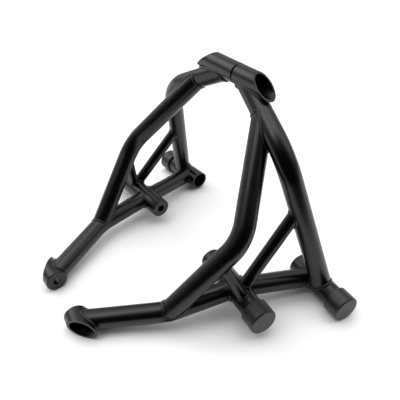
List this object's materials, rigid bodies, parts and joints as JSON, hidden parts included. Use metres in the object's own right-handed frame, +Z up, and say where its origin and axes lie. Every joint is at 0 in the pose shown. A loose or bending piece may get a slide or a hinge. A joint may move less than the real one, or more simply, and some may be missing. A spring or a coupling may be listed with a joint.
{
  "type": "motorcycle crash bars",
  "caption": "Pair of welded tubular crash bars for a motorcycle, bolted together at a short cross tube, with bent bars, braces, mounting pegs and plastic slider caps.",
  "frame": {"origin": "on the floor, in the mirror plane, mid-way between the front bosses and the rear pegs", "axes": "+X across the motorcycle towards the right half, +Y from the front bosses back to the rear pegs, +Z up"},
  "size_m": [0.4214, 0.308, 0.2617],
  "materials": {
    "powder_coat": "satin black powder coat on steel tube",
    "slider_plastic": "matt black turned plastic",
    "fastener_steel": "zinc-plated steel"
  },
  "bodies": {
    "root": {"cross_tube_right": "powder_coat", "cross_plug_right": "powder_coat", "main_tube_right": "powder_coat", "fork_tube_right": "powder_coat", "front_rail_right": "powder_coat", "rear_rail_right": "powder_coat", "long_brace_right": "powder_coat", "short_brace_right": "powder_coat", "front_boss_right": "powder_coat", "front_plug_right": "powder_coat", "mid_peg_right": "powder_coat", "mid_plug_right": "powder_coat", "rear_peg_right": "powder_coat", "cross_tube_left": "powder_coat", "cross_plug_left": "powder_coat", "main_tube_left": "powder_coat", "fork_tube_left": "powder_coat", "front_rail_left": "powder_coat", "rear_rail_left": "powder_coat", "long_brace_left": "powder_coat", "short_brace_left": "powder_coat", "front_boss_left": "powder_coat", "front_plug_left": "powder_coat", "mid_peg_left": "powder_coat", "mid_plug_left": "powder_coat", "rear_peg_left": "powder_coat", "mid_cap_right": "slider_plastic", "rear_cap_right": "slider_plastic", "mid_cap_left": "slider_plastic", "rear_cap_left": "slider_plastic", "joining_bolt": "fastener_steel", "joining_nut": "fastener_steel", "joining_washers": "fastener_steel"}
  },
  "joints": []
}
